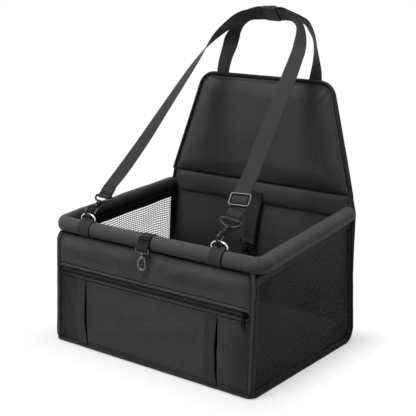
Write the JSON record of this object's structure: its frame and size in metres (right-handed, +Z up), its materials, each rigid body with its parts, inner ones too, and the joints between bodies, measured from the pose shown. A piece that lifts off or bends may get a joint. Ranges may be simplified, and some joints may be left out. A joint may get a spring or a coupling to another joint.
{
  "type": "dog car seat",
  "caption": "Black fabric booster box for a small dog with a padded rim, net sides, a zipped front pocket, a folding back flap, a strap harness with buckle and an inner leash.",
  "frame": {"origin": "middle of the base, on the surface it rests on", "axes": "+Z up, -Y towards the open front with the zipped pocket, +X to the right of someone who looks at that front, the side with the strap adjuster"},
  "size_m": [0.4564, 0.3706, 0.5965],
  "materials": {
    "outer_fabric": "matte woven polyester",
    "lining_fabric": "matte quilted lining",
    "side_net": "open knitted net",
    "webbing": "ribbed woven webbing",
    "bright_steel": "bright plated",
    "dark_metal": "dark plated",
    "black_plastic": "fine grained",
    "stiffener_board": "plain board",
    "frame_tube": "smooth pipe"
  },
  "bodies": {
    "base": {"base_cover": "outer_fabric", "base_board": "stiffener_board", "floor_pad": "lining_fabric", "left_side_frame": "outer_fabric", "left_side_net": "side_net", "left_side_piping": "outer_fabric", "right_side_frame": "outer_fabric", "right_side_net": "side_net", "right_side_piping": "outer_fabric", "front_panel": "lining_fabric", "front_facing": "outer_fabric", "pocket_panel": "outer_fabric", "left_pleat_band": "webbing", "right_pleat_band": "webbing", "front_piping": "outer_fabric", "zipper_tape": "webbing", "zipper_teeth": "black_plastic", "back_cover": "outer_fabric", "back_board": "stiffener_board", "lower_back_pad": "lining_fabric", "back_band": "lining_fabric", "rim_sleeve": "outer_fabric", "rim_tube_front": "frame_tube", "rim_tube_left": "frame_tube", "rim_tube_right": "frame_tube", "rim_elbow_left": "frame_tube", "rim_elbow_right": "frame_tube", "rim_loop_left": "webbing", "rim_loop_center": "webbing", "rim_loop_right": "webbing", "front_strap_left": "webbing", "front_strap_right": "webbing", "hook_left_eye": "bright_steel", "hook_right_eye": "bright_steel"},
    "flap": {"flap_cover": "outer_fabric", "flap_board": "stiffener_board", "flap_pad": "lining_fabric", "flap_piping": "outer_fabric", "rear_strap_left": "webbing", "rear_strap_right": "webbing", "buckle_socket": "black_plastic", "buckle_plug": "black_plastic"},
    "ring_left": {"d_ring_left": "bright_steel"},
    "ring_right": {"d_ring_right": "bright_steel"},
    "snap_left": {"hook_left_hook": "bright_steel"},
    "snap_left_gate": {"hook_left_gate": "bright_steel"},
    "snap_right": {"hook_right_hook": "bright_steel"},
    "snap_right_gate": {"hook_right_gate": "bright_steel"},
    "adjuster": {"strap_adjuster": "bright_steel"},
    "slider": {"zipper_slider": "dark_metal"},
    "pull": {"zipper_pull": "dark_metal"},
    "prong_front": {"buckle_prong_front": "black_plastic"},
    "prong_rear": {"buckle_prong_rear": "black_plastic"},
    "leash": {"leash_strap": "webbing", "leash_eye": "dark_metal"},
    "leash_snap": {"leash_hook": "dark_metal"},
    "leash_snap_gate": {"leash_gate": "dark_metal"},
    "clip": {"clip_eye": "dark_metal"},
    "clip_snap": {"clip_hook": "dark_metal"},
    "clip_snap_gate": {"clip_gate": "dark_metal"}
  },
  "joints": [
    {"name": "flap_fold", "type": "hinge", "parent": "base", "child": "flap", "pos_m": [0, 0.159, 0.2677], "axis": [1, 0, 0], "range_deg": [0, 76], "deforming": ["front_strap_left", "front_strap_right"]},
    {"name": "d_ring_left_swing", "type": "hinge", "parent": "base", "child": "ring_left", "pos_m": [-0.147, -0.1465, 0.2315], "axis": [1, 0, 0], "range_deg": [-3, 3]},
    {"name": "d_ring_right_swing", "type": "hinge", "parent": "base", "child": "ring_right", "pos_m": [0.137, -0.1465, 0.2315], "axis": [1, 0, 0], "range_deg": [-4, 4]},
    {"name": "hook_left_swivel", "type": "hinge", "parent": "base", "child": "snap_left", "pos_m": [-0.14286, -0.10841, 0.26792], "axis": [0.0449, 0.839, 0.5423], "range_deg": [-5, 30]},
    {"name": "hook_left_gate", "type": "hinge", "parent": "snap_left", "child": "snap_left_gate", "pos_m": [-0.14059, -0.12832, 0.24978], "axis": [-0.7872, 0.364, -0.4978], "range_deg": [0, 20], "stiffness_Nm_per_rad": 0.004},
    {"name": "hook_right_swivel", "type": "hinge", "parent": "base", "child": "snap_right", "pos_m": [0.13468, -0.10972, 0.26991], "axis": [-0.018, 0.8101, 0.5861], "range_deg": [-25, 25]},
    {"name": "hook_right_gate", "type": "hinge", "parent": "snap_right", "child": "snap_right_gate", "pos_m": [0.13444, -0.12789, 0.24989], "axis": [-0.9916, -0.0896, 0.0933], "range_deg": [0, 20], "stiffness_Nm_per_rad": 0.004},
    {"name": "adjuster_slide", "type": "slide", "parent": "base", "child": "adjuster", "axis": [-0.1817, 0.6832, 0.7073], "range_m": [0, 0.028]},
    {"name": "zip_slide", "type": "slide", "parent": "base", "child": "slider", "axis": [-1, 0, 0], "range_m": [0, 0.39]},
    {"name": "zip_pull_swing", "type": "hinge", "parent": "slider", "child": "pull", "pos_m": [0.197, -0.16519, 0.1375], "axis": [-1, 0, 0], "range_deg": [0, 100]},
    {"name": "buckle_prong_front", "type": "hinge", "parent": "flap", "child": "prong_front", "pos_m": [0.0075, 0.1909, 0.577], "axis": [0, 0.7141, 0.7001], "range_deg": [-6, 0], "stiffness_Nm_per_rad": 0.05},
    {"name": "buckle_prong_rear", "type": "hinge", "parent": "flap", "child": "prong_rear", "pos_m": [0.0075, 0.1811, 0.587], "axis": [0, 0.7141, 0.7001], "range_deg": [0, 6], "stiffness_Nm_per_rad": 0.05},
    {"name": "leash_swing", "type": "hinge", "parent": "base", "child": "leash", "pos_m": [0.0035, 0.156, 0.2546], "axis": [-1, 0, 0], "range_deg": [0, 75]},
    {"name": "leash_swivel", "type": "hinge", "parent": "leash", "child": "leash_snap", "pos_m": [-0.012, 0.1519, 0.15], "axis": [0.1502, 0, 0.9886], "range_deg": [-25, 18]},
    {"name": "leash_gate", "type": "hinge", "parent": "leash_snap", "child": "leash_snap_gate", "pos_m": [-0.0111, 0.1533, 0.13043], "axis": [-0.3381, 0.9397, 0.0514], "range_deg": [0, 20], "stiffness_Nm_per_rad": 0.004},
    {"name": "clip_swing", "type": "hinge", "parent": "base", "child": "clip", "pos_m": [-0.0075, -0.16638, 0.20894], "axis": [-1, 0, 0], "range_deg": [0, 90]},
    {"name": "clip_swivel", "type": "hinge", "parent": "clip", "child": "clip_snap", "pos_m": [-0.0075, -0.16638, 0.20894], "axis": [0, 0, 1], "range_deg": [-25, 25]},
    {"name": "clip_gate", "type": "hinge", "parent": "clip_snap", "child": "clip_snap_gate", "pos_m": [-0.00275, -0.16571, 0.19354], "axis": [-0.1392, 0.9903, 0], "range_deg": [0, 20], "stiffness_Nm_per_rad": 0.004}
  ]
}
